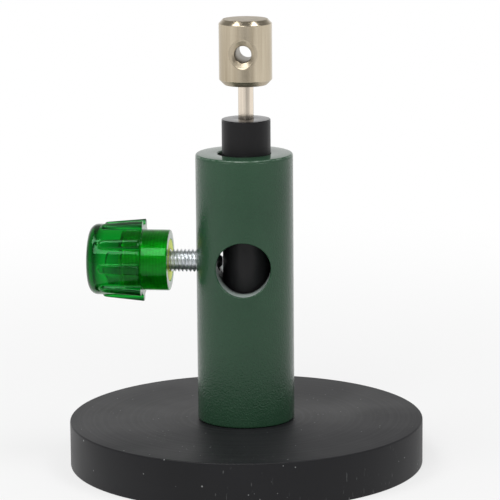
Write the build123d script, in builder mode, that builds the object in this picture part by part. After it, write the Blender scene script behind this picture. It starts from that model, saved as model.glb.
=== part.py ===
"""A clamped post with a cross-drilled head, in a windowed holder on a round base."""

import os
from math import cos, hypot, radians, sin

from build123d import *

os.makedirs("parts", exist_ok=True)

# Allowances shared by the pieces, in millimetres
overrun = 1.0
running_gap = 0.05
end_gap = 0.2

# Base disc
base_diameter = 93.0
base_thickness = 12.0
base_edge_chamfer = 0.4

# Socket cap screw that holds the holder on the base
base_screw_diameter = 6.0
base_screw_length = 12.0
base_screw_tip_chamfer = 0.6
cap_head_diameter = 10.0
cap_head_height = 6.0
cap_head_chamfer = 0.4
cap_head_recess = 1.0
cap_head_play = 0.75
cap_socket_width = 5.0
cap_socket_depth = 3.0
base_hole_play = 0.3

# Holder
holder_diameter = 25.4
holder_height = 70.6
holder_floor = 10.0
holder_edge_chamfer = 0.5
bore_diameter = 13.9
bore_mouth_chamfer = 0.25
bore_mouth_angle = 90.0
clamp_height = 41.95
window_diameter = 14.2
window_turn = 4.0

# Post
post_diameter = 12.7
post_rise = 9.0
post_floor_gap = 6.1
post_edge_chamfer = 0.25
post_wall_gap = 0.03

# Head and its stem, turned as one piece
head_diameter = 13.8
head_height = 17.0
head_top_chamfer = 1.1
head_bottom_chamfer = 1.4
stem_diameter = 4.0
stem_bare_length = 9.0
stem_seat_length = 8.0
stem_tip_chamfer = 0.4
cross_hole_diameter = 4.4
cross_sink_diameter = 7.5
cross_sink_angle = 112.0

# Clamp stud
stud_diameter = 6.0
stud_bare_length = 7.0
stud_grip_length = 11.0
stud_tip_diameter = 2.2
stud_tip_gap = 0.12
stud_tip_angle = 90.0

# Knob
cap_diameter = 18.6
cap_length = 14.8
cap_dome_height = 0.8
cap_flat_diameter = 5.0
cap_end_bevel = 0.9
cap_end_ease = 0.45
collar_diameter = 16.0
collar_length = 6.85
collar_chamfer = 0.3
rib_count = 9
rib_width = 2.4
rib_setback = 3.9
rib_low_diameter = 19.8
rib_high_diameter = 21.8
rib_nose_round = 0.9
rib_edge_chamfer = 0.5
first_rib_angle = 5.2

# Brass insert in the knob
insert_diameter = 11.3
insert_length = 12.9
insert_chamfer = 0.25
waist_length = 3.0
waist_depth = 0.5

# Heights and places that follow from the sizes above
holder_top = base_thickness + holder_height
clamp_level = base_thickness + clamp_height
bore_depth = holder_height - holder_floor
post_offset = (bore_diameter - post_diameter) / 2 - post_wall_gap
post_length = post_rise + bore_depth - post_floor_gap
post_top = holder_top + post_rise
head_bottom = post_top + stem_bare_length
cross_hole_level = head_bottom + head_height / 2
stud_tip = post_offset - post_diameter / 2 - stud_tip_gap
collar_face = -holder_diameter / 2 - stud_bare_length
flange_face = collar_face - collar_length
cap_end = flange_face - cap_length
rib_start = cap_end + rib_setback

clamp_plane = Plane(origin=(0, 0, clamp_level), x_dir=(1, 0, 0), z_dir=(0, -1, 0))
clamp_axis = Axis((0, 0, clamp_level), (1, 0, 0))
post_plane = Plane(origin=(post_offset, 0, post_top))
head_plane = Plane(origin=(post_offset, 0, head_bottom), x_dir=(1, 0, 0), z_dir=(0, -1, 0))
head_axis = Axis((post_offset, 0, head_bottom), (0, 0, 1))
underside = Plane(origin=(0, 0, 0), x_dir=(1, 0, 0), z_dir=(0, 0, -1))
cap_seat_plane = underside.offset(-cap_head_recess - cap_head_height)


# Base disc, counterbored from below for the cap screw
with BuildPart() as base_disc:
    with BuildSketch(Plane.XY):
        Circle(base_diameter / 2)
    extrude(amount=base_thickness)
    chamfer(base_disc.edges().filter_by(GeomType.CIRCLE), base_edge_chamfer)
    with Locations(underside):
        CounterBoreHole(
            radius=base_screw_diameter / 2 + base_hole_play,
            counter_bore_radius=cap_head_diameter / 2 + cap_head_play,
            counter_bore_depth=cap_head_recess + cap_head_height,
        )
base_disc.part.label = "base_disc"
export_step(base_disc.part, "parts/base_disc.step")


# Cap screw with a hexagon socket, its head seated in the counterbore
with BuildPart() as base_screw:
    with BuildSketch(cap_seat_plane):
        Circle(cap_head_diameter / 2)
    extrude(amount=cap_head_height)
    chamfer(base_screw.edges().sort_by(Axis.Z)[0], cap_head_chamfer)
    with BuildSketch(cap_seat_plane):
        Circle(base_screw_diameter / 2)
    extrude(amount=-base_screw_length)
    chamfer(base_screw.edges().sort_by(Axis.Z)[-1], base_screw_tip_chamfer)
    with BuildSketch(cap_seat_plane.offset(cap_head_height)):
        RegularPolygon(cap_socket_width / 2, side_count=6, major_radius=False)
    extrude(amount=-cap_socket_depth, mode=Mode.SUBTRACT)
base_screw.part.label = "base_screw"
export_step(base_screw.part, "parts/base_screw.step")


# Holder: a tube with a solid floor, a cross window and a tapped side hole
with BuildPart() as holder:
    with BuildSketch(Plane.XY.offset(base_thickness)):
        Circle(holder_diameter / 2)
    extrude(amount=holder_height)
    chamfer(holder.edges().filter_by(GeomType.CIRCLE), holder_edge_chamfer)
    with Locations(Plane.XY.offset(holder_top)):
        CounterSinkHole(
            radius=bore_diameter / 2,
            counter_sink_radius=bore_diameter / 2 + bore_mouth_chamfer,
            depth=bore_depth,
            counter_sink_angle=bore_mouth_angle,
        )
    with Locations(underside.offset(-base_thickness)):
        Hole(radius=base_screw_diameter / 2 + running_gap, depth=holder_floor + overrun)
    with Locations(clamp_plane.rotated((0, window_turn, 0)).offset(holder_diameter / 2)):
        Hole(radius=window_diameter / 2)
    with Locations(Plane(origin=(-holder_diameter / 2, 0, clamp_level), z_dir=(-1, 0, 0))):
        Hole(radius=stud_diameter / 2 + running_gap, depth=holder_diameter / 2)
holder.part.label = "holder"
export_step(holder.part, "parts/holder.step")


# Post, leaning on the far wall of the bore, with a blind hole for the stem
with BuildPart() as post:
    with BuildSketch(post_plane):
        Circle(post_diameter / 2)
    extrude(amount=-post_length)
    chamfer(post.edges().filter_by(GeomType.CIRCLE), post_edge_chamfer)
    with Locations(post_plane):
        Hole(radius=stem_diameter / 2 + running_gap, depth=stem_seat_length + end_gap)
post.part.label = "post"
export_step(post.part, "parts/post.step")


# Head and stem, one turned profile with a countersunk cross hole
with BuildPart() as head:
    with BuildSketch(head_plane) as head_profile:
        Rectangle(head_diameter / 2, head_height, align=(Align.MIN, Align.MIN))
        rim_corners = head_profile.vertices().group_by(Axis.X)[-1].sort_by(Axis.Y)
        chamfer(rim_corners[-1], head_top_chamfer)
        chamfer(rim_corners[0], head_bottom_chamfer)
        stem_length = stem_bare_length + stem_seat_length
        Rectangle(stem_diameter / 2, stem_length, align=(Align.MIN, Align.MAX))
        chamfer(head_profile.vertices().group_by(Axis.Y)[0].sort_by(Axis.X)[-1], stem_tip_chamfer)
    revolve(axis=head_axis)
    cross_front = Plane(origin=(post_offset, -head_diameter / 2, cross_hole_level), z_dir=(0, -1, 0))
    cross_back = Plane(origin=(post_offset, head_diameter / 2, cross_hole_level), z_dir=(0, 1, 0))
    with Locations(cross_front, cross_back):
        CounterSinkHole(
            radius=cross_hole_diameter / 2,
            counter_sink_radius=cross_sink_diameter / 2,
            depth=head_diameter / 2,
            counter_sink_angle=cross_sink_angle,
        )
head.part.label = "head"
export_step(head.part, "parts/head.step")


# Clamp stud, a plain rod of the thread's outer diameter with a cone point
with BuildPart() as clamp_stud:
    with BuildSketch(Plane(origin=(stud_tip, 0, clamp_level), z_dir=(-1, 0, 0))):
        Circle(stud_diameter / 2)
    extrude(amount=stud_tip - collar_face + stud_grip_length)
    tip_edge = clamp_stud.edges().filter_by(GeomType.CIRCLE).sort_by(Axis.X)[-1]
    chamfer(tip_edge, (stud_diameter - stud_tip_diameter) / 2, angle=stud_tip_angle / 2)
clamp_stud.part.label = "clamp_stud"
export_step(clamp_stud.part, "parts/clamp_stud.step")


# Brass insert, a waisted bush flush with the collar's face
with BuildPart() as knob_insert:
    with BuildSketch(clamp_plane):
        with Locations((collar_face - insert_length / 2, insert_diameter / 4)):
            Rectangle(insert_length, insert_diameter / 2)
        with Locations((collar_face - insert_length / 2, insert_diameter / 2)):
            Rectangle(waist_length, waist_depth * 2, mode=Mode.SUBTRACT)
    revolve(axis=clamp_axis)
    chamfer(knob_insert.edges().group_by(Axis.X)[-1], insert_chamfer)
    with Locations(Plane(origin=(collar_face, 0, clamp_level), z_dir=(1, 0, 0))):
        Hole(radius=stud_diameter / 2 + running_gap)
knob_insert.part.label = "knob_insert"
export_step(knob_insert.part, "parts/knob_insert.step")


# Knob: rounded cap with flared ribs and a plain collar, hollow for the insert
rib_planes = []
for number in range(rib_count):
    rib_angle = radians(first_rib_angle + number * 360 / rib_count)
    sideways = (0, sin(rib_angle), -cos(rib_angle))
    rib_planes.append(Plane(origin=(0, 0, clamp_level), x_dir=(1, 0, 0), z_dir=sideways))


def height_over_axis(edge):
    middle = edge @ 0.5
    return hypot(middle.Y, middle.Z - clamp_level)


with BuildPart() as knob:
    # Ribs rooted in the cap, each with a round nose and a crest that flares to the flange
    with BuildSketch(*rib_planes) as rib_profile:
        with BuildLine():
            Polyline(
                (rib_start, collar_diameter / 2),
                (rib_start, rib_low_diameter / 2),
                (flange_face, rib_high_diameter / 2),
                (flange_face, collar_diameter / 2),
                close=True,
            )
        make_face()
        nose = rib_profile.vertices().group_by(Axis.X)[0].sort_by(Axis.Y)[-1]
        fillet(nose, rib_nose_round)
    extrude(amount=rib_width / 2, both=True)
    long_edges = knob.edges().filter_by_position(Axis.X, rib_start, flange_face, (False, False))
    crest_edges = long_edges.filter_by(lambda edge: height_over_axis(edge) > cap_diameter / 2)
    chamfer(crest_edges, rib_edge_chamfer)
    # Cap and collar
    with BuildSketch(clamp_plane) as cap_profile:
        with BuildLine():
            cap_rim = (cap_end + cap_dome_height, cap_diameter / 2)
            Polyline(
                (cap_end, 0),
                (cap_end, cap_flat_diameter / 2),
                cap_rim,
                (flange_face, cap_diameter / 2),
                (flange_face, collar_diameter / 2),
                (collar_face, collar_diameter / 2),
                (collar_face, 0),
                close=True,
            )
        make_face()
        chamfer(cap_profile.vertices().sort_by_distance(cap_rim)[0], cap_end_bevel)
        chamfer(cap_profile.vertices().sort_by_distance(cap_rim)[:2], cap_end_ease)
        collar_rim = cap_profile.vertices().group_by(Axis.X)[-1].sort_by(Axis.Y)[-1]
        chamfer(collar_rim, collar_chamfer)
    revolve(axis=clamp_axis)
    with Locations(Plane(origin=(collar_face, 0, clamp_level), z_dir=(1, 0, 0))):
        Hole(radius=insert_diameter / 2 + running_gap, depth=insert_length + end_gap)
knob.part.label = "knob"
export_step(knob.part, "parts/knob.step")
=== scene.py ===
"""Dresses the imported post, holder and clamp screw with fine meshes, materials, studio light and a camera."""
from math import asin, atan2, cos, hypot, pi, radians, sin, sqrt, tan

import bmesh
import bpy
from mathutils import Matrix, Vector


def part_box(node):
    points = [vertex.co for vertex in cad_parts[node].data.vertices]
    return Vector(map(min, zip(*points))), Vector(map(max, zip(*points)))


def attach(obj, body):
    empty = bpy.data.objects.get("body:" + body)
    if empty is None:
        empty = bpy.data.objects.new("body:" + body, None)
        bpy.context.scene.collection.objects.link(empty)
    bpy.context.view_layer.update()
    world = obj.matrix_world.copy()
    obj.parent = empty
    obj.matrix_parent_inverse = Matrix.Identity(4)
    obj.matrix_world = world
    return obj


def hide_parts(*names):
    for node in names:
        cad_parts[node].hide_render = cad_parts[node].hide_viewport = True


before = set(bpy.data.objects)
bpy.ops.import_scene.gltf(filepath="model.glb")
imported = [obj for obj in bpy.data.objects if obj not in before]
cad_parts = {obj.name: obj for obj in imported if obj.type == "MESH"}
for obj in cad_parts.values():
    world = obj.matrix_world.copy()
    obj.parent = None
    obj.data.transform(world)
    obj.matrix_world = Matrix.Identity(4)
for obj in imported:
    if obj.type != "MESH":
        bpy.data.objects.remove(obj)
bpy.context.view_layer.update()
mm = 0.001


# Sizes read from the frame, in millimetres
def span(node):
    low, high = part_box(node)
    return low / mm, high / mm


base_high = span("base_disc")[1]
cap_low, cap_high = span("base_screw")
holder_high = span("holder")[1]
post_low, post_high = span("post")
head_low, head_high = span("head")
stud_low, stud_high = span("clamp_stud")
insert_low, insert_high = span("knob_insert")
knob_low, knob_high = span("knob")

base_radius = base_high.x
base_top = base_high.z
cap_radius = cap_high.x
cap_bottom = cap_low.z
cap_tip = cap_high.z
holder_radius = holder_high.x
holder_top = holder_high.z
post_radius = (post_high.x - post_low.x) / 2
post_centre = (post_low.x + post_high.x) / 2
post_bottom = post_low.z
post_top = post_high.z
head_radius = (head_high.x - head_low.x) / 2
stem_tip = head_low.z
head_top = head_high.z
stud_radius = (stud_high.z - stud_low.z) / 2
stud_end = stud_low.x
stud_point = stud_high.x
clamp_level = (stud_low.z + stud_high.z) / 2
insert_radius = (insert_high.z - insert_low.z) / 2
insert_end = insert_low.x
insert_face = insert_high.x
knob_end = knob_low.x
collar_face = knob_high.x

# Sizes that the boxes don't give, in millimetres and degrees, as in the part
base_hole_radius = 3.3
counterbore_radius = 5.75
counterbore_depth = 7.0
cap_tip_chamfer = 0.6
cap_head_height = 6.0
cap_socket_width = 5.0
cap_socket_depth = 3.0
screw_hole_radius = 3.05
holder_floor = 10.0
bore_radius = 6.95
bore_chamfer = 0.25
window_radius = 7.1
window_turn = 4.0
stem_radius = 2.0
stem_hole_radius = 2.05
stem_hole_depth = 8.2
head_height = 17.0
head_top_chamfer = 1.1
head_bottom_chamfer = 1.4
cross_radius = 2.2
cross_sink_radius = 3.75
cross_sink_angle = 112.0
stud_tip_radius = 1.1
knob_radius = 9.3
dome_height = 0.8
collar_radius = 8.0
collar_length = 6.85
rib_count = 9
rib_half_width = 1.2
rib_setback = 3.9
rib_low_radius = 9.9
rib_high_radius = 10.9
first_rib_angle = 5.2
insert_chamfer = 0.25
waist_length = 3.0
waist_depth = 0.5

# Sizes of what only the fine meshes have, in millimetres
pitch = 1.0
thread_depth = 0.6
stud_end_chamfer = 0.5
insert_round = 1.3

# Sizes and places that follow from those above; the cap screw has the stud's thread
cap_thread_radius = stud_radius
bore_floor = base_top + holder_floor
head_bottom = head_top - head_height
cross_level = head_bottom + head_height / 2
cross_sink_slope = tan(radians(cross_sink_angle / 2))
waist_radius = insert_radius - waist_depth

# Mesh helpers
sharp_angle = 32.0


def rounded(corners, steps=6):
    """A path through corners (a, b, radius), with an arc of that radius at each corner."""
    path = []
    for number, (a, b, radius) in enumerate(corners):
        here = Vector((a, b))
        if not radius:
            path.append(here)
            continue
        back = (Vector(corners[number - 1][:2]) - here).normalized()
        ahead = (Vector(corners[(number + 1) % len(corners)][:2]) - here).normalized()
        half = back.angle(ahead) / 2
        centre = here + (back + ahead).normalized() * radius / sin(half)
        start = here + back * radius / tan(half) - centre
        turn = start.angle_signed(here + ahead * radius / tan(half) - centre)
        for step in range(steps + 1):
            path.append(centre + Matrix.Rotation(-turn * step / steps, 2) @ start)
    return path


def steps_between(start, end, count):
    """Even steps from start, without the end."""
    return [start + (end - start) * step / count for step in range(count)]


def upright(x):
    """Places a point round a vertical axis at x, turning from the front towards +X."""
    return lambda radius, along, turn: Vector((x + radius * sin(turn), -radius * cos(turn), along))


def level(radius, along, turn):
    """Places a point round the clamp screw's axis, turning from the front downwards."""
    return Vector((along, -radius * cos(turn), clamp_level - radius * sin(turn)))


def settle(name, mesh, sharp=sharp_angle):
    """Makes an object of a bmesh, smooth except at sharp edges."""
    bmesh.ops.recalc_face_normals(mesh, faces=mesh.faces[:])
    data = bpy.data.meshes.new(name)
    mesh.to_mesh(data)
    mesh.free()
    data.shade_smooth()
    data.set_sharp_from_angle(angle=radians(sharp))
    piece = bpy.data.objects.new(name, data)
    bpy.context.scene.collection.objects.link(piece)
    return piece


def row_of(mesh, points):
    """New vertices at points in millimetres."""
    return [mesh.verts.new(point * mm) for point in points]


def join(mesh, near, far):
    """Quads between two closed rows of vertices."""
    for k in range(len(near)):
        mesh.faces.new((near[k - 1], near[k], far[k], far[k - 1]))


def fan(mesh, row, tip):
    """Triangles from a closed row of vertices to a point."""
    peak = mesh.verts.new(tip * mm)
    for k in range(len(row)):
        mesh.faces.new((row[k - 1], row[k], peak))


def skin(name, loops, start=None, end=None, ring=False, sharp=sharp_angle):
    """A closed surface through loops of points, with its ends drawn to a point or joined in a ring."""
    mesh = bmesh.new()
    rows = [row_of(mesh, loop) for loop in loops]
    for near, far in zip(rows, rows[1:]):
        join(mesh, near, far)
    if ring:
        join(mesh, rows[-1], rows[0])
    if start is not None:
        fan(mesh, rows[0], start)
    if end is not None:
        fan(mesh, rows[-1], end)
    return settle(name, mesh, sharp)


def turns_round(segments):
    """Even turns round a circle, in radians."""
    return [2 * pi * k / segments for k in range(segments)]


def turned(path, place, segments):
    """One loop of points for each (radius, along) of the path."""
    return [[place(radius, along, turn) for turn in turns_round(segments)] for radius, along in path]


def lathe(name, path, place, segments, ring=False):
    """A turned piece; a path that begins or ends on the axis is closed there."""
    start = place(0, path[0][1], 0) if path[0][0] == 0 else None
    end = place(0, path[-1][1], 0) if path[-1][0] == 0 else None
    off_axis = [point for point in path if point[0] > 0]
    return skin(name, turned(off_axis, place, segments), start, end, ring)


def thread_loops(start, end, radius, limit, place, segments, rows_a_pitch=14):
    """Loops of a right-hand thread from start to end, kept within limit(along)."""
    crest_share, flank_share, easing = 0.14, 0.72, 0.15
    count = round((end - start) / pitch * rows_a_pitch)
    loops = []
    for row in range(count + 1):
        along = start + (end - start) * row / count
        loop = []
        for k, turn in enumerate(turns_round(segments)):
            phase = (along / pitch - k / segments) % 1
            flank = min(max((abs(2 * phase - 1) - crest_share) / flank_share, 0), 1)
            depth = thread_depth * ((1 - easing) * flank + easing * flank * flank * (3 - 2 * flank))
            loop.append(place(min(radius - depth, limit(along)), along, turn))
        loops.append(loop)
    return loops


class Wall:
    """A grid on an upright cylinder, with round openings cut through it."""

    def __init__(self, radius, place, rows, columns):
        self.mesh = bmesh.new()
        self.radius = radius
        self.place = place
        self.rows = rows
        self.columns = columns
        self.grid = {}
        self.open_cells = set()

    def vertex(self, column, row):
        key = (column % self.columns, row)
        if key not in self.grid:
            turn = 2 * pi * column / self.columns
            self.grid[key] = self.mesh.verts.new(self.place(self.radius, self.rows[row], turn) * mm)
        return self.grid[key]

    def opening(self, middle, half, low, high, mouth, blends=7):
        """Rows of vertices from a rectangle of the grid into a round mouth; returns the innermost row."""
        left, right = middle - half, middle + half
        for column in range(left, right):
            self.open_cells |= {(column % self.columns, row) for row in range(low, high)}
        border = [(column, low) for column in range(left, right)]
        border += [(right, row) for row in range(low, high)]
        border += [(column, high) for column in range(right, left, -1)]
        border += [(left, row) for row in range(high, low, -1)]
        centre_turn = 2 * pi * middle / self.columns
        centre_height = (self.rows[low] + self.rows[high]) / 2
        outward = self.place(1, 0, centre_turn) - self.place(0, 0, 0)
        across = Vector((-outward.y, outward.x, 0))
        columns_of_points = []
        for column, row in border:
            round_wall = self.radius * 2 * pi * (column - middle) / self.columns
            flat = Vector((round_wall, self.rows[row] - centre_height))
            points = mouth(atan2(flat.y, flat.x))
            rim = Vector((self.radius * asin(points[0].x / self.radius), points[0].y))
            line = []
            for step in range(1, blends):
                spot = flat.lerp(rim, step / blends)
                turn = centre_turn + spot.x / self.radius
                line.append(self.place(self.radius, centre_height + spot.y, turn))
            for point in points:
                sideways = across * point.x + outward * point.z
                line.append(self.place(0, centre_height + point.y, 0) + sideways)
            columns_of_points.append(line)
        near = [self.vertex(column, row) for column, row in border]
        for loop in zip(*columns_of_points):
            far = row_of(self.mesh, loop)
            join(self.mesh, near, far)
            near = far
        return near

    def tunnel(self, front, rear, height_weight=4):
        """Joins two innermost rows that face each other, each vertex with the one most level with it."""
        def gap(vertex, other):
            apart = other.co - vertex.co
            return abs(apart.z) * height_weight + apart.length

        partner = [min(rear, key=lambda other: gap(vertex, other)) for vertex in front]
        join(self.mesh, front, partner)

    def close(self, bottom, top):
        """Fills the grid and closes its ends with turned paths that end on the axis."""
        for column in range(self.columns):
            for row in range(len(self.rows) - 1):
                if (column, row) not in self.open_cells:
                    self.mesh.faces.new((self.vertex(column, row), self.vertex(column + 1, row),
                                         self.vertex(column + 1, row + 1), self.vertex(column, row + 1)))
        for path, row in ((bottom, 0), (top, len(self.rows) - 1)):
            near = [self.vertex(column, row) for column in range(self.columns)]
            for loop in turned(path[:-1], self.place, self.columns):
                far = row_of(self.mesh, loop)
                join(self.mesh, near, far)
                near = far
            fan(self.mesh, near, self.place(0, path[-1][1], 0))


def cut(piece, cutter):
    """Takes the cutter out of the piece."""
    boolean = piece.modifiers.new("cut", "BOOLEAN")
    boolean.operation = "DIFFERENCE"
    boolean.solver = "EXACT"
    boolean.object = cutter
    bpy.context.view_layer.update()
    done = bpy.data.meshes.new_from_object(piece.evaluated_get(bpy.context.evaluated_depsgraph_get()))
    piece.modifiers.clear()
    piece.data = done
    done.set_sharp_from_angle(angle=radians(sharp_angle))
    bpy.data.objects.remove(cutter)


def finish_piece(piece, node, body, material):
    """Gives the piece its material and puts it in the node's place on the body."""
    piece.data.materials.clear()
    piece.data.materials.append(material)
    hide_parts(node)
    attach(piece, body)


# Node helpers
def srgb(red, green, blue):
    """A colour as seen on a screen, from 0 to 255, in linear light."""
    colour = []
    for share in (red / 255, green / 255, blue / 255):
        colour.append(share / 12.92 if share < 0.04045 else ((share + 0.055) / 1.055) ** 2.4)
    return (*colour, 1)


def add_node(tree, kind, inputs, **settings):
    """Adds a node, with values or other nodes' outputs as its inputs, and returns its outputs."""
    made = tree.nodes.new(kind)
    for key, value in settings.items():
        setattr(made, key, value)
    for socket, value in inputs.items():
        if isinstance(value, bpy.types.NodeSocket):
            tree.links.new(value, made.inputs[socket])
        else:
            made.inputs[socket].default_value = value
    return made.outputs


def add_range(tree, value, low, high, to_low, to_high, **settings):
    """Maps a value from one range to another and keeps it there."""
    inputs = {"Value": value, "From Min": low, "From Max": high, "To Min": to_low, "To Max": to_high}
    return add_node(tree, "ShaderNodeMapRange", inputs, **settings)[0]


def add_ramp(tree, value, stops, interpolation="LINEAR"):
    """A colour that follows a value through stops of a position and a colour."""
    output = add_node(tree, "ShaderNodeValToRGB", {"Fac": value})["Color"]
    ramp = output.node.color_ramp
    ramp.interpolation = interpolation
    while len(ramp.elements) < len(stops):
        ramp.elements.new(0.5)
    for element, (position, colour) in zip(ramp.elements, stops):
        element.position = position
        element.color = colour
    return output


def add_mix(tree, share, first, second, blend="MIX"):
    """A colour mixed of two."""
    inputs = {0: share, 6: first, 7: second}
    return add_node(tree, "ShaderNodeMix", inputs, data_type="RGBA", blend_type=blend)[2]


class Paint:
    """A Principled material and the nodes that drive it, with places in metres."""

    noise_low, noise_high = 0.3, 0.7

    def __init__(self, name, **values):
        self.material = bpy.data.materials.new(name)
        self.material.use_nodes = True
        self.tree = self.material.node_tree
        self.surface = self.tree.nodes["Principled BSDF"]
        self.place = self.add("ShaderNodeTexCoord", {}, "Object")
        self.bumps = None
        for socket, value in values.items():
            self.surface.inputs[socket.replace("_", " ")].default_value = value

    def add(self, kind, inputs, output=0, **settings):
        return add_node(self.tree, kind, inputs, **settings)[output]

    def math(self, operation, first, second):
        return self.add("ShaderNodeMath", {0: first, 1: second}, operation=operation)

    def stretched(self, scale):
        return self.add("ShaderNodeMapping", {"Vector": self.place, "Scale": scale})

    def noise(self, scale, detail=2.0, where=None):
        inputs = {"Vector": where or self.place, "Scale": scale, "Detail": detail}
        return self.add("ShaderNodeTexNoise", inputs)

    def along(self, axis):
        """The place along X, Y or Z."""
        return self.add("ShaderNodeSeparateXYZ", {0: self.place}, axis)

    def from_axis(self, centre, axis):
        """The distance from an axis along X, Y or Z through a centre in millimetres."""
        moved = self.add("ShaderNodeMapping", {"Vector": self.place, "Location": -centre * mm})
        flat = [0 if direction == axis else 1 for direction in "XYZ"]
        across = self.add("ShaderNodeVectorMath", {0: moved, 1: flat}, operation="MULTIPLY")
        return self.add("ShaderNodeVectorMath", {0: across}, output="Value", operation="LENGTH")

    def rings(self, distance, scale, detail=3.0):
        """Noise that only changes with the distance from an axis."""
        inputs = {"W": distance, "Scale": scale, "Detail": detail}
        return self.add("ShaderNodeTexNoise", inputs, noise_dimensions="1D")

    def specks(self, scale, size, share, core=0.4):
        """Small round spots with a full core, in a share of the cells."""
        cells = {"Vector": self.place, "Scale": scale}
        near = self.add("ShaderNodeTexVoronoi", cells, output="Distance")
        pick = self.add("ShaderNodeTexVoronoi", cells, output="Color")
        chosen = self.math("LESS_THAN", self.add("ShaderNodeSeparateColor", {"Color": pick}), share)
        return self.math("MULTIPLY", chosen, self.ranged(near, size, size * core, 0.0, 1.0))

    def ranged(self, value, low, high, to_low, to_high):
        return add_range(self.tree, value, low, high, to_low, to_high)

    def fade(self, value, start, end, most=1.0):
        """From 0 to most as a place or distance goes from start to end, given in millimetres."""
        return self.ranged(value, start * mm, end * mm, 0.0, most)

    def between(self, share, first, second):
        """From first to second as a share goes from 0 to 1."""
        return self.ranged(share, 0.0, 1.0, first, second)

    def drift(self, noise, low, high):
        """A value that drifts between low and high with a noise."""
        return self.ranged(noise, self.noise_low, self.noise_high, low, high)

    def mottled(self, noise, dark, light):
        """A colour that drifts between dark and light with a noise."""
        return self.ramp(noise, (self.noise_low, dark), (self.noise_high, light))

    def ramp(self, value, *stops):
        return add_ramp(self.tree, value, stops)

    def mixed(self, share, first, second):
        return add_mix(self.tree, share, first, second)

    def drive(self, socket, value):
        self.tree.links.new(value, self.surface.inputs[socket])

    def bump(self, height, distance, strength):
        """Adds relief to what is there, with its depth in millimetres."""
        inputs = {"Height": height, "Distance": distance * mm, "Strength": strength}
        if self.bumps is not None:
            inputs["Normal"] = self.bumps
        self.bumps = self.add("ShaderNodeBump", inputs)
        self.drive("Normal", self.bumps)


# Materials
def green_coat():
    """Powder coat like orange peel, smooth at the rim with a pale line there that is part wear and part
    painted highlight, and bare metal inside the holes, painted dark as shade deep in the bore.
    """
    coat_end = holder_radius - 0.5
    lip_end = holder_top - 0.7
    fade_width = 0.1
    edge_drift = 0.15 * mm
    lip_roughness, bare_roughness, bare_metallic = 0.12, 0.45, 0.3
    most_wear_and_highlight = 0.3
    peel_depth = 0.12
    paint = Paint("green_coat", Specular_IOR_Level=0.3)
    height = paint.along("Z")
    reach = paint.from_axis(Vector((0, 0, 0)), "Z")
    ragged = paint.math("ADD", reach, paint.drift(paint.noise(900.0), -edge_drift, edge_drift))
    inside = paint.fade(ragged, coat_end, coat_end - fade_width)
    below_lip = paint.fade(height, lip_end, lip_end - fade_width)
    bare = paint.math("MULTIPLY", inside, below_lip)
    # Painted shade: the bare metal is dark deep in the bore and light towards the outer wall
    out_of_bore = paint.fade(reach, bore_radius + 0.3, bore_radius + 2.0)
    bare_metal_and_painted_shade = paint.mixed(out_of_bore, srgb(38, 38, 37), srgb(178, 190, 185))
    # A pale dotted line on the rim's edge: part wear, part painted highlight
    on_rim = paint.math("MULTIPLY", paint.fade(height, holder_top - 0.5, holder_top - 0.3, most_wear_and_highlight),
                        paint.fade(height, holder_top - 0.05, holder_top - 0.12))
    pale_marked = paint.math("MULTIPLY", on_rim, paint.ranged(paint.noise(700.0, 3.0), 0.4, 0.62, 0.0, 1.0))
    coat = paint.mottled(paint.noise(60.0, 4.0), srgb(43, 74, 54), srgb(49, 82, 60))
    coat = paint.mixed(pale_marked, coat, srgb(165, 180, 168))
    paint.drive("Base Color", paint.mixed(bare, coat, bare_metal_and_painted_shade))
    paint.drive("Metallic", paint.between(bare, 0.0, bare_metallic))
    roughness = paint.between(below_lip, lip_roughness, paint.drift(paint.noise(240.0, 3.0), 0.13, 0.21))
    paint.drive("Roughness", paint.between(bare, roughness, bare_roughness))
    for scale, strength in ((2200.0, 0.9), (420.0, 0.12)):
        paint.bump(paint.math("MULTIPLY", paint.noise(scale), below_lip), peel_depth, strength)
    return paint.material


def base_rubber():
    """Dull black rubber with turning marks, scuffs and dust."""
    paint = Paint("base_rubber", Specular_IOR_Level=0.27)
    turning = paint.rings(paint.from_axis(Vector((0, 0, 0)), "Z"), 900.0)
    patches = paint.noise(26.0, 4.0)
    patch_low, patch_high = 0.35, 0.65
    dull = paint.ramp(patches, (patch_low, srgb(18, 18, 21)), (patch_high, srgb(26, 26, 29)))
    brushed = paint.mixed(paint.ranged(turning, 0.4, 0.75, 0.0, 0.6), dull, srgb(44, 44, 46))
    upright_marks = paint.noise(1300.0, 2.0, paint.stretched((1, 1, 0.25)))
    scuffs = paint.math("MULTIPLY", paint.ranged(upright_marks, 0.66, 0.74, 0.0, 0.6),
                        paint.ranged(paint.noise(70.0, 3.0), 0.54, 0.66, 0.0, 1.0))
    pale_marked = paint.mixed(scuffs, brushed, srgb(98, 100, 100))
    dust = paint.math("MAXIMUM", paint.specks(330.0, 0.10, 0.08), paint.specks(700.0, 0.14, 0.09))
    paint.drive("Base Color", paint.mixed(dust, pale_marked, srgb(150, 152, 152)))
    paint.drive("Roughness", paint.ranged(patches, patch_low, patch_high, 0.42, 0.54))
    paint.bump(turning, 0.02, 0.4)
    paint.bump(paint.noise(2600.0, 3.0), 0.03, 0.35)
    return paint.material


def black_anodised():
    """Black anodising with drawn marks, smoother on the top face."""
    top_roughness = 0.16
    paint = Paint("black_anodised", Specular_IOR_Level=0.29)
    paint.drive("Base Color", paint.mottled(paint.noise(70.0, 4.0), srgb(19, 18, 20), srgb(25, 24, 26)))
    drawn = paint.noise(800.0, 3.0, paint.stretched((1, 1, 0.06)))
    on_top = paint.fade(paint.along("Z"), post_top - 0.3, post_top - 0.1)
    paint.drive("Roughness", paint.between(on_top, paint.drift(drawn, 0.40, 0.48), top_roughness))
    paint.bump(paint.noise(2200.0, 3.0), 0.02, 0.35)
    return paint.material


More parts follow.
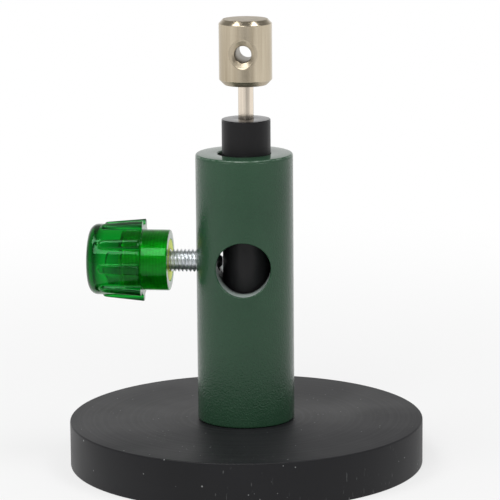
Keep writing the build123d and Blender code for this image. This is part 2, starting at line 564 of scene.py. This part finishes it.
def nickel_plate():
    """Plated metal with turned lines and painted reflection streaks up and down its colour, duller on its end
    faces and in the countersinks, with painted shade in the cross hole.
    """
    paint = Paint("nickel_plate", Metallic=1.0)
    height = paint.along("Z")
    crown = paint.from_axis(Vector((post_centre, 0, 0)), "Z")
    sink = paint.from_axis(Vector((post_centre, 0, cross_level)), "Y")
    on_stem = paint.fade(height, head_bottom, head_bottom - 0.2)
    on_crown = paint.fade(height, head_top - 0.1, head_top - 0.02)
    in_sink = paint.fade(sink, cross_sink_radius + 0.05, cross_sink_radius)
    in_hole = paint.fade(sink, cross_radius + 0.08, cross_radius + 0.02)
    low_on_head = paint.fade(height, head_bottom + head_bottom_chamfer, head_bottom + 1.2)
    under_head = paint.math("SUBTRACT", low_on_head, on_stem)
    # Painted reflection: light and dark streaks up and down the plating's colour, stronger on the stem
    reflection_streaks = paint.noise(500.0, 4.0, paint.stretched((1, 1, 0.05)))
    plating_and_painted_reflection = paint.mottled(reflection_streaks, srgb(172, 159, 136), srgb(205, 193, 171))
    stem_reflection_streaks = paint.noise(800.0, 1.0, paint.stretched((1, 1, 0.02)))
    stem_painted_reflection = paint.ramp(stem_reflection_streaks, (0.34, srgb(194, 184, 170)), (0.56, srgb(235, 222, 205)))
    plating_and_painted_reflection = paint.mixed(on_stem, plating_and_painted_reflection, stem_painted_reflection)
    # Painted shade: darker inside the cross hole
    paint.drive("Base Color", paint.mixed(in_hole, plating_and_painted_reflection, srgb(150, 142, 126)))
    turned_lines = paint.noise(2400.0, 3.0, paint.stretched((0.03, 0.03, 1)))
    roughness = paint.drift(turned_lines, 0.15, 0.20)
    for place, extra in ((on_stem, 0.05), (on_crown, 0.2), (in_sink, 0.2), (under_head, 0.25)):
        roughness = paint.math("ADD", roughness, paint.math("MULTIPLY", place, extra))
    paint.drive("Roughness", roughness)
    paint.bump(turned_lines, 0.005, 0.5)
    ring_scale = 4000.0
    paint.bump(paint.math("MULTIPLY", paint.rings(crown, ring_scale), on_crown), 0.01, 0.5)
    paint.bump(paint.math("MULTIPLY", paint.rings(sink, ring_scale), in_sink), 0.02, 0.6)
    return paint.material


def plain_metal(name, dark, light, roughness, spot_scale, grain_scale):
    """A metal with a little uneven colour, gloss and grain."""
    paint = Paint(name, Metallic=1.0)
    paint.drive("Base Color", paint.mottled(paint.noise(spot_scale, 3.0), dark, light))
    paint.drive("Roughness", paint.drift(paint.noise(900.0, 3.0), *roughness))
    paint.bump(paint.noise(grain_scale), 0.01, 0.4)
    return paint.material


def fastener_steel():
    """Dark steel of the cap screw."""
    return plain_metal("fastener_steel", srgb(92, 92, 95), srgb(122, 122, 124), (0.32, 0.48), 400.0, 2600.0)


def zinc_steel():
    """Bright zinc plating of the stud."""
    return plain_metal("zinc_steel", srgb(222, 226, 230), srgb(238, 240, 242), (0.28, 0.38), 700.0, 3000.0)


def insert_brass():
    """Yellow brass with painted shade in the grooves between its ridges, dull except at its rounded inner end.
    """
    round_start = insert_end + insert_round
    round_roughness = 0.25
    paint = Paint("insert_brass", Metallic=1.0)
    waves = {"Vector": paint.place, "Scale": 360.0, "Distortion": 2.5, "Detail": 2.0}
    # Painted shade: dark lines where the grooves are
    groove_shade = paint.ranged(paint.add("ShaderNodeTexWave", waves), 0.1, 0.7, 0.18, 0.0)
    plain = paint.mottled(paint.noise(500.0, 3.0), srgb(222, 234, 96), srgb(238, 248, 120))
    paint.drive("Base Color", paint.mixed(groove_shade, plain, srgb(150, 160, 56)))
    at_round = paint.fade(paint.along("X"), round_start + 0.2, round_start)
    dull = paint.drift(paint.noise(300.0, 3.0), 0.45, 0.55)
    paint.drive("Roughness", paint.between(at_round, dull, round_roughness))
    paint.bump(paint.noise(900.0), 0.01, 0.3)
    return paint.material


def clear_green():
    """Clear green plastic, with painted shade at the end rim and on the rib crests."""
    rim_shade, crest_shade = 0.95, 0.85
    paint = Paint("clear_green", Transmission_Weight=1.0, IOR=1.49, Coat_Weight=0.2, Coat_Roughness=0.04,
                  Specular_Tint=(0.08, 0.75, 0.22, 1))
    reach = paint.from_axis(Vector((0, 0, clamp_level)), "X")
    # Painted shade: the colour darkens towards the end rim and on the rib crests
    at_end = paint.fade(paint.along("X"), knob_end + 3.4, knob_end + 1.2, rim_shade)
    at_rim = paint.math("MULTIPLY", at_end, paint.ranged(reach, 5.5 * mm, 8.3 * mm, 0.2, 1.0))
    at_crest = paint.fade(reach, knob_radius + 0.3, knob_radius + 1.0, crest_shade)
    deep = paint.math("MAXIMUM", at_rim, at_crest)
    paint.drive("Base Color", paint.mixed(deep, srgb(2, 164, 42), srgb(0, 24, 6)))
    paint.drive("Roughness", paint.drift(paint.noise(300.0, 3.0), 0.08, 0.14))
    paint.bump(paint.noise(420.0), 0.02, 0.25)
    body = paint.add("ShaderNodeVolumeAbsorption", {"Color": (0.2, 0.45, 0.4, 1), "Density": 40.0})
    paint.tree.links.new(body, paint.tree.nodes["Material Output"].inputs["Volume"])
    return paint.material


# Base disc with its counterbored hole
stand_axis = upright(0)
base_edge_round = 0.4
counterbore_edge_round = 0.15
base_path = rounded([
    (base_hole_radius, base_top, 0), (base_radius, base_top, base_edge_round),
    (base_radius, 0, base_edge_round), (counterbore_radius, 0, counterbore_edge_round),
    (counterbore_radius, counterbore_depth, 0), (base_hole_radius, counterbore_depth, 0)])
base_piece = lathe("base_disc_fine", base_path, stand_axis, segments=512, ring=True)
finish_piece(base_piece, "base_disc", "stand", base_rubber())

# Cap screw under the base, with a hexagon socket
cap_seat = cap_bottom + cap_head_height
cap_edge_round = 0.5
cap_seat_round = 0.2
cap_face_start = cap_socket_width * 0.62
cap_thread_start = cap_seat + 0.3
socket_floor = cap_bottom + cap_socket_depth
socket_cone = 0.8
socket_chamfer_height = 0.2
socket_chamfer_width = 0.15
cap_segments = 120


def hexagon_loop(height, growth):
    """A loop of the socket's six-sided outline, widened by growth."""
    loop = []
    for turn in turns_round(cap_segments):
        from_flat = (turn + pi / 6) % (pi / 3) - pi / 6
        loop.append(stand_axis(cap_socket_width / 2 / cos(from_flat) + growth, height, turn))
    return loop


def cap_limit(along):
    return cap_thread_radius - cap_tip_chamfer + cap_tip - along


cap_loops = [hexagon_loop(socket_floor, 0), hexagon_loop(cap_bottom + socket_chamfer_height, 0),
             hexagon_loop(cap_bottom, socket_chamfer_width)]
cap_loops += turned(rounded([
    (cap_face_start, cap_bottom, 0), (cap_radius, cap_bottom, cap_edge_round),
    (cap_radius, cap_seat, cap_seat_round), (cap_thread_radius, cap_seat, 0)]), stand_axis, cap_segments)
cap_loops += thread_loops(cap_thread_start, cap_tip, cap_thread_radius, cap_limit, stand_axis, cap_segments)
cap_piece = skin("base_screw_fine", cap_loops, stand_axis(0, socket_floor + socket_cone, 0),
                 stand_axis(0, cap_tip, 0))
finish_piece(cap_piece, "base_screw", "stand", fastener_steel())


# Holder: outer wall with rounded mouths, then its bore
def rounded_mouth(radius, rounding, deep=None, steps=6):
    """The rounded edge where a level hole leaves the holder's wall, as points across, up and outward."""
    def mouth(turn):
        reach = radius + rounding
        side, height = reach * cos(turn), reach * sin(turn)
        centre = Vector((side, height, sqrt((holder_radius - rounding) ** 2 - side ** 2)))
        outward = Vector((side, 0, centre.z)).normalized()
        inward = Vector((-cos(turn), -sin(turn), 0))
        points = [centre + outward.slerp(inward, step / steps) * rounding for step in range(steps + 1)]
        if deep is not None:
            points.append(Vector((radius * cos(turn), radius * sin(turn), deep)))
        return points
    return mouth


window_edge_round = 0.3
side_edge_round = 0.25
holder_foot_round = 0.5
holder_top_round = 0.55
bore_edge_round = 0.1
wall_margin = 1.0
wall_foot = base_top + wall_margin
wall_head = holder_top - wall_margin
window_reach = 11.0
window_foot = clamp_level - window_reach
window_head = clamp_level + window_reach
foot_rows, window_rows, top_rows = 24, 24, 14
holder_columns = 180
window_half_columns = 25
side_half_columns = 10
side_rows = 10
holder_rows = steps_between(wall_foot, window_foot, foot_rows)
holder_rows += steps_between(window_foot, window_head, window_rows)
holder_rows += steps_between(window_head, wall_head, top_rows) + [wall_head]
holder_wall = Wall(holder_radius, stand_axis, holder_rows, holder_columns)

window_column = round(window_turn / 360 * holder_columns)
window_mouth = rounded_mouth(window_radius, window_edge_round)
front, rear = [
    holder_wall.opening(column, window_half_columns, foot_rows, foot_rows + window_rows, window_mouth)
    for column in (window_column, window_column + holder_columns // 2)]
holder_wall.tunnel(front, rear)

side_column = holder_columns * 3 // 4
side_low = foot_rows + (window_rows - side_rows) // 2
pocket_end = 9.0
side_mouth = rounded_mouth(screw_hole_radius, side_edge_round, pocket_end)
pocket = holder_wall.opening(side_column, side_half_columns, side_low, side_low + side_rows, side_mouth)
fan(holder_wall.mesh, pocket, Vector((-pocket_end, 0, clamp_level)))

mouth_floor = holder_top - 5.0
holder_wall.close(
    rounded([(holder_radius, wall_foot, 0), (holder_radius, base_top, holder_foot_round),
             (0, base_top, 0)])[1:],
    rounded([(holder_radius, wall_head, 0), (holder_radius, holder_top, holder_top_round),
             (bore_radius + bore_chamfer, holder_top, bore_edge_round),
             (bore_radius, holder_top - bore_chamfer, bore_edge_round),
             (bore_radius, mouth_floor, 0), (0, mouth_floor, 0)])[1:])
holder_piece = settle("holder_fine", holder_wall.mesh)

# The cutters are a little slimmer than the mouths that they run into, and have odd counts of segments
cutter_play = 0.004
cutter_overlap = 0.5
cutter_foot = base_top - 1.0
bore_cutter_top = mouth_floor + cutter_overlap
bore_cutter_radius = bore_radius - cutter_play
cut(holder_piece, lathe("bore_cutter", [
    (0, cutter_foot), (screw_hole_radius, cutter_foot), (screw_hole_radius, bore_floor),
    (bore_cutter_radius, bore_floor), (bore_cutter_radius, bore_cutter_top), (0, bore_cutter_top)],
    stand_axis, segments=179))
side_cutter_start = -pocket_end - cutter_overlap
side_cutter_end = -5.0
side_cutter_radius = screw_hole_radius - cutter_play
cut(holder_piece, lathe("side_cutter", [
    (0, side_cutter_start), (side_cutter_radius, side_cutter_start),
    (side_cutter_radius, side_cutter_end), (0, side_cutter_end)], level, segments=97))
finish_piece(holder_piece, "holder", "stand", green_coat())

# Post with a blind hole for the stem
post_bottom_round = 0.25
post_top_round = 0.2
stem_hole_round = 0.05
stem_hole_floor = post_top - stem_hole_depth
post_path = rounded([
    (0, post_bottom, 0), (post_radius, post_bottom, post_bottom_round),
    (post_radius, post_top, post_top_round), (stem_hole_radius, post_top, stem_hole_round),
    (stem_hole_radius, stem_hole_floor, 0), (0, stem_hole_floor, 0)])
post_piece = lathe("post_fine", post_path, upright(post_centre), segments=256)
finish_piece(post_piece, "post", "post", black_anodised())

# Head: turned body and stem with a countersunk cross hole
cross_edge = 0.05
sink_edge = 0.04
sink_steps = 6
hole_start = head_radius - (cross_sink_radius - cross_radius) / cross_sink_slope


def cross_mouth(turn):
    """The countersink and the start of the cross hole, as points across, up and outward."""
    # Where the cone meets the round wall, closer with each step
    reach = cross_sink_radius
    for _ in range(30):
        drop = head_radius - sqrt(head_radius ** 2 - (reach * cos(turn)) ** 2)
        reach = (reach + cross_sink_radius - drop * cross_sink_slope) / 2
    edge = reach + cross_edge
    rings = [(edge, sqrt(head_radius ** 2 - (edge * cos(turn)) ** 2))]
    wide, narrow = reach - sink_edge, cross_radius + sink_edge
    for step in range(sink_steps + 1):
        radius = wide + (narrow - wide) * step / sink_steps
        rings.append((radius, head_radius - (cross_sink_radius - radius) / cross_sink_slope))
    rings.append((cross_radius, hole_start - cross_edge))
    return [Vector((radius * cos(turn), radius * sin(turn), outward)) for radius, outward in rings]


bottom_edge_round = 0.15
stem_root_round = 0.2
stem_tip_round = 0.4
shoulder_round = 0.2
crown_round = 0.3
body_margin = 0.3
body_foot = head_bottom + head_bottom_chamfer + body_margin
body_head = head_top - head_top_chamfer - body_margin
cross_reach = 5.6
cross_foot = cross_level - cross_reach
cross_head = cross_level + cross_reach
end_rows, cross_rows = 3, 20
body_columns = 160
cross_half_columns = 20
body_rows = steps_between(body_foot, cross_foot, end_rows)
body_rows += steps_between(cross_foot, cross_head, cross_rows)
body_rows += steps_between(cross_head, body_head, end_rows) + [body_head]
head_wall = Wall(head_radius, upright(post_centre), body_rows, body_columns)
near_mouth, far_mouth = [
    head_wall.opening(column, cross_half_columns, end_rows, end_rows + cross_rows, cross_mouth)
    for column in (0, body_columns // 2)]
head_wall.tunnel(near_mouth, far_mouth)
head_wall.close(
    rounded([(head_radius, body_foot, 0),
             (head_radius, head_bottom + head_bottom_chamfer, bottom_edge_round),
             (head_radius - head_bottom_chamfer, head_bottom, bottom_edge_round),
             (stem_radius, head_bottom, stem_root_round), (stem_radius, stem_tip, stem_tip_round),
             (0, stem_tip, 0)])[1:],
    rounded([(head_radius, body_head, 0), (head_radius, head_top - head_top_chamfer, shoulder_round),
             (head_radius - head_top_chamfer, head_top, crown_round), (0, head_top, 0)])[1:])
head_piece = settle("head_fine", head_wall.mesh)
finish_piece(head_piece, "head", "head", nickel_plate())


# Clamp stud with its thread and cone point
def stud_limit(along):
    cone = stud_tip_radius + stud_point - along
    chamfer = stud_radius - stud_end_chamfer + along - stud_end
    return min(stud_radius, cone, chamfer)


stud_loops = thread_loops(stud_end, stud_point, stud_radius, stud_limit, level, segments=96)
stud_piece = skin("clamp_stud_fine", stud_loops, level(0, stud_end, 0), level(0, stud_point, 0), sharp=50.0)
finish_piece(stud_piece, "clamp_stud", "thumbscrew", zinc_steel())

# Brass insert with a waist and fine grooves
groove_pitch = 0.62
ridge_width = 0.36
groove_place = 0.48
groove_depth = 0.02
ridge_margin = 0.6
insert_hole_chamfer = 0.2
insert_middle = (insert_end + insert_face) / 2


def ridged(start, end):
    """Fine ridges on the insert from start to end, as points of radius and place."""
    path = []
    for ridge in range(int((start - end) / groove_pitch)):
        ridge_start = start - ridge * groove_pitch
        path += [(insert_radius, ridge_start), (insert_radius, ridge_start - ridge_width),
                 (insert_radius - groove_depth, ridge_start - groove_place)]
    return path + [(insert_radius, end)]


waist_start = insert_middle + waist_length / 2
waist_end = insert_middle - waist_length / 2
insert_path = [(insert_radius - insert_chamfer, insert_face), (insert_radius, insert_face - insert_chamfer)]
insert_path += ridged(insert_face - ridge_margin, waist_start)
insert_path += [(waist_radius, waist_start), (waist_radius, waist_end)]
insert_path += ridged(waist_end, insert_end + insert_round)
insert_path += rounded([(insert_radius, insert_middle, 0), (insert_radius, insert_end, insert_round),
                        (screw_hole_radius, insert_end, 0)], 10)[2:]
insert_path += [(screw_hole_radius, insert_face - insert_hole_chamfer),
                (screw_hole_radius + insert_hole_chamfer, insert_face)]
insert_piece = lathe("knob_insert_fine", insert_path, level, segments=192, ring=True)
finish_piece(insert_piece, "knob_insert", "screw_carrier", insert_brass())

# Knob: domed cap with flared ribs, flange and collar, moulded on the insert
flange = collar_face - collar_length
rib_start = knob_end + rib_setback
rib_arm = rib_low_radius
rib_edge_round = 0.6
rib_draft = 0.12
root_reach = 0.5
root_share, side_share, edge_share = 0.25, 0.3, 0.45
half_sector = pi / rib_count
# Places across a rib and along its nose, closer together where the surface bends
rib_places = (0.3, 0.6, 0.64, 0.7, 0.78, 0.87, 0.97, 1.07, 1.14, 1.18, 1.2, 1.24, 1.28, 1.32, 1.36, 1.41,
              1.47, 1.55, 1.7, 2.1, 2.6, 3.1)
nose_places = (-0.5, -0.35, -0.27, -0.2, -0.16, -0.12, -0.08, -0.04, 0, 0.02, 0.06, 0.13, 0.23, 0.33, 0.42,
               0.5, 0.56, 0.6, 0.9, 1.2, 1.5)
across_rib = [-half_sector] + [-place / rib_arm for place in reversed(rib_places)] + [0]
across_rib += [place / rib_arm for place in rib_places]
knob_turns = []
for rib in range(rib_count):
    middle = radians(first_rib_angle) + 2 * half_sector * rib
    knob_turns += [(middle + offset, abs(offset) * rib_arm) for offset in across_rib]


def rib_height(along, sideways):
    """How far a rib stands over the cap there: a rounded edge, a steep side and a filleted root."""
    inside = rib_half_width - hypot(sideways, max(rib_start + rib_half_width - along, 0))
    if inside <= -root_reach:
        return 0
    share = (along - rib_start) / (flange - rib_start)
    full = rib_low_radius + (rib_high_radius - rib_low_radius) * share - knob_radius
    if inside < -rib_draft:
        return full * root_share * (1 - sqrt(1 - ((inside + root_reach) / (root_reach - rib_draft)) ** 2))
    if inside < 0:
        return full * (root_share + side_share * (inside + rib_draft) / rib_draft)
    edge = min(inside / rib_edge_round, 1)
    return full * (root_share + side_share + edge_share * sqrt(1 - (1 - edge) ** 2))


def knob_loop(radius, along, ribbed=0.0):
    """A loop round the knob, with the ribs' height times ribbed added."""
    loop = []
    for turn, sideways in knob_turns:
        loop.append(level(radius + ribbed * rib_height(along, sideways), along, turn))
    return loop


def dome(radius):
    return knob_end + dome_height * (radius / knob_radius) ** 2


dome_reach = 5.0
end_rim_round = 2.2
end_rim = dome(knob_radius) - 0.1
band_end = rib_start - 0.7
rib_body = rib_start + 1.9
flange_edge = flange - 0.1
knob_loops = [knob_loop(radius, dome(radius)) for radius in (0.6, 1.4, 2.4, 3.4, 4.2)]
end_path = rounded([(dome_reach, dome(dome_reach), 0), (knob_radius, end_rim, end_rim_round),
                    (knob_radius, band_end, 0)], 9)
knob_loops += [knob_loop(radius, along) for radius, along in end_path]
knob_loops += [knob_loop(knob_radius, rib_start + place, 1.0) for place in nose_places]
knob_loops += [knob_loop(knob_radius, along, 1.0) for along in steps_between(rib_body, flange_edge, 16)]
for inward, along, ribbed in ((0, flange_edge, 1.0), (0.03, flange - 0.03, 1.0), (0.1, flange, 0.98),
                              (0.5, flange, 0.5)):
    knob_loops.append(knob_loop(knob_radius - inward, along, ribbed))

# The plastic reaches this far into the insert that it is moulded on
hold = 0.03
bore_in_knob = insert_radius - hold
waist_in_knob = waist_radius - hold
knob_bottom = insert_end + hold
flange_inside = knob_radius - 0.6
collar_root_round = 0.2
collar_edge_round = 0.35
collar_mouth_round = 0.1
collar_path = rounded([
    (flange_inside, flange, 0), (collar_radius, flange, collar_root_round),
    (collar_radius, collar_face, collar_edge_round), (bore_in_knob, collar_face, collar_mouth_round),
    (bore_in_knob, waist_start + hold, 0), (waist_in_knob, waist_start + hold, 0),
    (waist_in_knob, waist_end - hold, 0), (bore_in_knob, waist_end - hold, 0),
    (bore_in_knob, knob_bottom, insert_round), (0, knob_bottom, 0)], 5)
knob_loops += [knob_loop(radius, along) for radius, along in collar_path[:-1]]
knob_piece = skin("knob_fine", knob_loops, level(0, knob_end, 0), level(0, knob_bottom, 0))
finish_piece(knob_piece, "knob", "thumbscrew", clear_green())

# Camera at the photograph's angle
azimuth, elevation, roll = radians(6.6), radians(11.43), radians(-0.472)
distance = 780.54
aim_aside, aim_height = 1.3246, 56.89
toward_camera = Vector((sin(azimuth) * cos(elevation), -cos(azimuth) * cos(elevation), sin(elevation)))
aside = Vector((cos(azimuth), sin(azimuth), 0))
above = toward_camera.cross(aside)
aim = aside * aim_aside + Vector((0, 0, aim_height))
eye = aim + toward_camera * distance
right = aside * cos(roll) + above * sin(roll)
up = toward_camera.cross(right)
camera_data = bpy.data.cameras.new("camera")
camera_data.lens = 215.12
camera_data.sensor_width = 36.0
camera_data.clip_start = 0.01
camera = bpy.data.objects.new("camera", camera_data)
camera_axes = Matrix((right, up, toward_camera)).transposed().to_4x4()
camera.matrix_world = Matrix.Translation(eye * mm) @ camera_axes
bpy.context.scene.collection.objects.link(camera)
bpy.context.scene.camera = camera

# Pale floor, in metres
floor_front, floor_back, floor_side = -3.0, 4.0, 3.0
floor_corners = ((-floor_side, floor_front), (floor_side, floor_front),
                 (floor_side, floor_back), (-floor_side, floor_back))
floor_mesh = bmesh.new()
floor_mesh.faces.new([floor_mesh.verts.new((x, y, 0)) for x, y in floor_corners])
floor = settle("floor", floor_mesh)
floor_material = bpy.data.materials.new("floor")
floor_material.use_nodes = True
floor.data.materials.append(floor_material)
tree = floor_material.node_tree
tree.nodes.clear()
pale_grey = 0.82
pale = add_node(tree, "ShaderNodeBsdfDiffuse", {"Color": (pale_grey, pale_grey, pale_grey, 1)})[0]

# What the camera, a reflection or clear plastic sees is white, with the soft shadow close to the object
rays = add_node(tree, "ShaderNodeLightPath", {})
seen = rays["Is Camera Ray"]
for ray in ("Is Glossy Ray", "Is Transmission Ray"):
    seen = add_node(tree, "ShaderNodeMath", {0: seen, 1: rays[ray]}, operation="MAXIMUM")[0]
spot = add_node(tree, "ShaderNodeTexCoord", {})["Object"]
away = add_node(tree, "ShaderNodeVectorMath", {0: spot}, operation="LENGTH")["Value"]
shadow_start, shadow_end, shadow_white = 0.05, 0.35, 0.68
white = add_range(tree, away, shadow_start, shadow_end, shadow_white, 1.0, interpolation_type="SMOOTHSTEP")
share = add_node(tree, "ShaderNodeMath", {0: seen, 1: white}, operation="MULTIPLY")[0]

# Painted shade: the white greys towards the dim front of the room
dim_distance, dim_core, dim_edge, dim_strength = 0.75, 0.1, 0.62, 0.42
dim_spot = Vector((sin(azimuth), -cos(azimuth), 0)) * dim_distance
from_dim = add_node(tree, "ShaderNodeVectorMath", {0: spot, 1: dim_spot}, operation="DISTANCE")["Value"]
dimming = add_range(tree, from_dim, dim_core, dim_edge, dim_strength, 1.0)
glow = add_node(tree, "ShaderNodeEmission", {"Strength": dimming})[0]
floor_look = add_node(tree, "ShaderNodeMixShader", {0: share, 1: pale, 2: glow})[0]
add_node(tree, "ShaderNodeOutputMaterial", {"Surface": floor_look})

# White studio, dimmer in front of the object where the room is
world = bpy.data.worlds.new("studio")
bpy.context.scene.world = world
world.use_nodes = True
tree = world.node_tree
direction = add_node(tree, "ShaderNodeTexCoord", {})["Generated"]


def grey_along(way, stops):
    """A grey that follows stops as the direction turns from away, at 0, to along way, at 1."""
    inputs = {0: direction, 1: Vector(way) / 2}
    part = add_node(tree, "ShaderNodeVectorMath", inputs, operation="DOT_PRODUCT")
    turn_share = add_node(tree, "ShaderNodeMath", {0: part["Value"], 1: 0.5}, operation="ADD")[0]
    return add_ramp(tree, turn_share, [(place, (grey, grey, grey, 1)) for place, grey in stops], "EASE")


dim_turn = azimuth + radians(10)
to_the_front = (sin(dim_turn), -cos(dim_turn), 0)
front_greys = ((0.03, 1.0), (0.25, 0.78), (0.45, 0.62), (0.6, 0.58), (0.8, 0.52), (0.96, 0.45))
round_about = grey_along(to_the_front, front_greys)
height_greys = ((0.5, 1.0), (0.58, 1.0), (0.67, 0.7), (0.78, 0.4), (0.95, 0.35))
by_height = grey_along((0, 0, 1), height_greys)
dimmed = add_mix(tree, 1.0, round_about, by_height, "MULTIPLY")
tree.links.new(dimmed, tree.nodes["Background"].inputs["Color"])

# Soft lights round the object, a metre from it
light_aim = Vector((0, 0, 0.05))


def softbox(name, place, size, power):
    lamp = bpy.data.lights.new(name, "AREA")
    lamp.shape = "RECTANGLE"
    lamp.size, lamp.size_y = size
    lamp.energy = power
    box = bpy.data.objects.new(name, lamp)
    box.location = place
    box.rotation_euler = (light_aim - Vector(place)).to_track_quat("-Z", "Y").to_euler()
    bpy.context.scene.collection.objects.link(box)


for name, aside_angle, height_angle, size, power in (
        ("left_light", -68, 63, (0.4, 0.4), 2.8), ("right_light", 68, 63, (0.4, 0.4), 2.8),
        ("front_light", -14, 44, (0.36, 0.48), 2.9)):
    turn, rise = azimuth + radians(aside_angle), radians(height_angle)
    softbox(name, (sin(turn) * cos(rise), -cos(turn) * cos(rise), sin(rise)), size, power)

bpy.context.scene.view_settings.view_transform = "Standard"

# Brings the scene up to date
bpy.context.view_layer.update()
